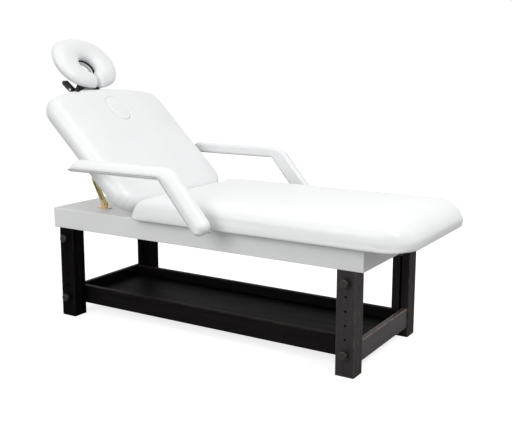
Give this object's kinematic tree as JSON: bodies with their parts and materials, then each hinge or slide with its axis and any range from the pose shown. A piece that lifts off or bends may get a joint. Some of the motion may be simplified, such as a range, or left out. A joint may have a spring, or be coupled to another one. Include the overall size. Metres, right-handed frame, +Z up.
{
  "type": "massage table",
  "caption": "Fixed spa massage table with padded top, lifting backrest, swing-over armrests, tilting face ring, height-adjustable timber legs and a low shelf.",
  "frame": {"origin": "middle of the table's outline on the floor", "axes": "+X towards the foot end, +Y towards the rear side, away from the face ring's lever, +Z up"},
  "size_m": [1.9044, 0.93, 1.256],
  "materials": {
    "white_vinyl": "satin synthetic leather",
    "dark_wood": "dark stained satin wood",
    "plywood": "plain plywood",
    "black_plastic": "moulded, matt",
    "yellow_zinc": "yellow zinc plated steel",
    "steel": "bright zinc plated",
    "white_metal": "powder coated"
  },
  "bodies": {
    "lower_frame": {"leg_inner_front_head": "dark_wood", "leg_inner_front_foot": "dark_wood", "leg_inner_rear_head": "dark_wood", "leg_inner_rear_foot": "dark_wood", "shelf_side_rail_front": "dark_wood", "shelf_side_rail_rear": "dark_wood", "shelf_end_rail_head": "dark_wood", "shelf_end_rail_foot": "dark_wood", "shelf_panel": "dark_wood", "shelf_battens": "dark_wood", "shelf_screws": "steel"},
    "bed_frame": {"leg_outer_front_head": "dark_wood", "leg_outer_front_foot": "dark_wood", "leg_outer_rear_head": "dark_wood", "leg_outer_rear_foot": "dark_wood", "box_side_rail_front": "plywood", "armrest_bracket_front": "white_metal", "box_side_rail_rear": "plywood", "armrest_bracket_rear": "white_metal", "box_end_rail_head": "plywood", "box_end_rail_foot": "plywood", "box_cover": "white_vinyl", "deck_panel": "plywood", "cross_rails": "plywood", "corner_blocks": "plywood", "leg_bolts": "steel", "clamp_nuts": "steel", "seat_board": "plywood", "seat_cushion": "white_vinyl", "backrest_hinge_ears": "steel", "stay_foot_brackets": "yellow_zinc"},
    "backrest": {"backrest_cushion": "white_vinyl", "backrest_board": "plywood", "backrest_rails": "plywood", "backrest_hinge_arms": "steel", "headrest_sockets": "steel", "stay_top_brackets": "yellow_zinc"},
    "face_plug": {"face_plug_board": "plywood", "face_plug_cushion": "white_vinyl"},
    "headrest_carriage": {"headrest_rods": "steel"},
    "headrest_platform": {"headrest_platform": "black_plastic"},
    "headrest_pad": {"headrest_cushion": "white_vinyl"},
    "headrest_lever": {"headrest_lever": "black_plastic"},
    "knob_front_head_lower": {"knob_front_head_lower": "black_plastic"},
    "knob_front_head_upper": {"knob_front_head_upper": "black_plastic"},
    "knob_front_foot_lower": {"knob_front_foot_lower": "black_plastic"},
    "knob_front_foot_upper": {"knob_front_foot_upper": "black_plastic"},
    "knob_rear_head_lower": {"knob_rear_head_lower": "black_plastic"},
    "knob_rear_head_upper": {"knob_rear_head_upper": "black_plastic"},
    "knob_rear_foot_lower": {"knob_rear_foot_lower": "black_plastic"},
    "knob_rear_foot_upper": {"knob_rear_foot_upper": "black_plastic"},
    "stay_lower_front": {"stay_lower_front": "yellow_zinc"},
    "stay_upper_front": {"stay_upper_front": "yellow_zinc"},
    "stay_lower_rear": {"stay_lower_rear": "yellow_zinc"},
    "stay_upper_rear": {"stay_upper_rear": "yellow_zinc"},
    "armrest_front": {"armrest_cushion_front": "white_vinyl", "armrest_core_front": "plywood"},
    "armrest_rear": {"armrest_cushion_rear": "white_vinyl", "armrest_core_rear": "plywood"}
  },
  "joints": [
    {"name": "height_slide", "type": "slide", "parent": "lower_frame", "child": "bed_frame", "axis": [0, 0, 1], "range_m": [0, 0.22]},
    {"name": "knob_front_head_lower_turn", "type": "hinge", "parent": "bed_frame", "child": "knob_front_head_lower", "pos_m": [-0.70484, -0.306, 0.089], "axis": [0, -1, 0], "continuous": true},
    {"name": "knob_front_head_upper_turn", "type": "hinge", "parent": "bed_frame", "child": "knob_front_head_upper", "pos_m": [-0.70484, -0.306, 0.364], "axis": [0, -1, 0], "continuous": true},
    {"name": "knob_front_foot_lower_turn", "type": "hinge", "parent": "bed_frame", "child": "knob_front_foot_lower", "pos_m": [0.69166, -0.306, 0.089], "axis": [0, -1, 0], "continuous": true},
    {"name": "knob_front_foot_upper_turn", "type": "hinge", "parent": "bed_frame", "child": "knob_front_foot_upper", "pos_m": [0.69166, -0.306, 0.364], "axis": [0, -1, 0], "continuous": true},
    {"name": "knob_rear_head_lower_turn", "type": "hinge", "parent": "bed_frame", "child": "knob_rear_head_lower", "pos_m": [-0.70484, 0.306, 0.089], "axis": [0, 1, 0], "continuous": true},
    {"name": "knob_rear_head_upper_turn", "type": "hinge", "parent": "bed_frame", "child": "knob_rear_head_upper", "pos_m": [-0.70484, 0.306, 0.364], "axis": [0, 1, 0], "continuous": true},
    {"name": "knob_rear_foot_lower_turn", "type": "hinge", "parent": "bed_frame", "child": "knob_rear_foot_lower", "pos_m": [0.69166, 0.306, 0.089], "axis": [0, 1, 0], "continuous": true},
    {"name": "knob_rear_foot_upper_turn", "type": "hinge", "parent": "bed_frame", "child": "knob_rear_foot_upper", "pos_m": [0.69166, 0.306, 0.364], "axis": [0, 1, 0], "continuous": true},
    {"name": "backrest_tilt", "type": "hinge", "parent": "bed_frame", "child": "backrest", "pos_m": [-0.32059, 0, 0.552], "axis": [0, 1, 0], "range_deg": [-44, 0]},
    {"name": "stay_foot_front", "type": "hinge", "parent": "bed_frame", "child": "stay_lower_front", "pos_m": [-0.56259, -0.203, 0.517], "axis": [0, 1, 0], "range_deg": [-65.3, 0.1]},
    {"name": "stay_top_front", "type": "hinge", "parent": "backrest", "child": "stay_upper_front", "pos_m": [-0.49567, -0.203, 0.69605], "axis": [0, 1, 0], "range_deg": [-0.1, 65.4]},
    {"name": "stay_foot_rear", "type": "hinge", "parent": "bed_frame", "child": "stay_lower_rear", "pos_m": [-0.56259, 0.203, 0.517], "axis": [0, 1, 0], "range_deg": [-65.3, 0.1]},
    {"name": "stay_top_rear", "type": "hinge", "parent": "backrest", "child": "stay_upper_rear", "pos_m": [-0.49567, 0.203, 0.69605], "axis": [0, 1, 0], "range_deg": [-0.1, 65.4]},
    {"name": "face_plug_lift", "type": "slide", "parent": "backrest", "child": "face_plug", "axis": [0.6947, 0, 0.7193], "range_m": [0, 0.12]},
    {"name": "armrest_front_swing", "type": "hinge", "parent": "bed_frame", "child": "armrest_front", "pos_m": [0.12848, -0.416, 0.535], "axis": [0, 1, 0], "range_deg": [0, 100]},
    {"name": "armrest_rear_swing", "type": "hinge", "parent": "bed_frame", "child": "armrest_rear", "pos_m": [0.12848, 0.416, 0.535], "axis": [0, 1, 0], "range_deg": [0, 100]},
    {"name": "headrest_slide", "type": "slide", "parent": "backrest", "child": "headrest_carriage", "axis": [-0.7193, 0, 0.6947], "range_m": [0, 0.06]},
    {"name": "headrest_tilt", "type": "hinge", "parent": "headrest_carriage", "child": "headrest_platform", "pos_m": [-0.84149, 0, 1.02028], "axis": [0, 1, 0], "range_deg": [-30, 2]},
    {"name": "headrest_lever_throw", "type": "hinge", "parent": "headrest_carriage", "child": "headrest_lever", "pos_m": [-0.84149, -0.098, 1.02028], "axis": [0, 1, 0], "range_deg": [-90, 0]},
    {"name": "headrest_pad_lift", "type": "slide", "parent": "headrest_platform", "child": "headrest_pad", "axis": [0.7694, 0, 0.6388], "range_m": [0, 0.08]}
  ],
  "couplings": [
    {"joint": "stay_foot_front", "follows": "backrest_tilt", "ratio": 1.482},
    {"joint": "stay_top_front", "follows": "backrest_tilt", "ratio": -1.484},
    {"joint": "stay_foot_rear", "follows": "backrest_tilt", "ratio": 1.482},
    {"joint": "stay_top_rear", "follows": "backrest_tilt", "ratio": -1.484}
  ]
}
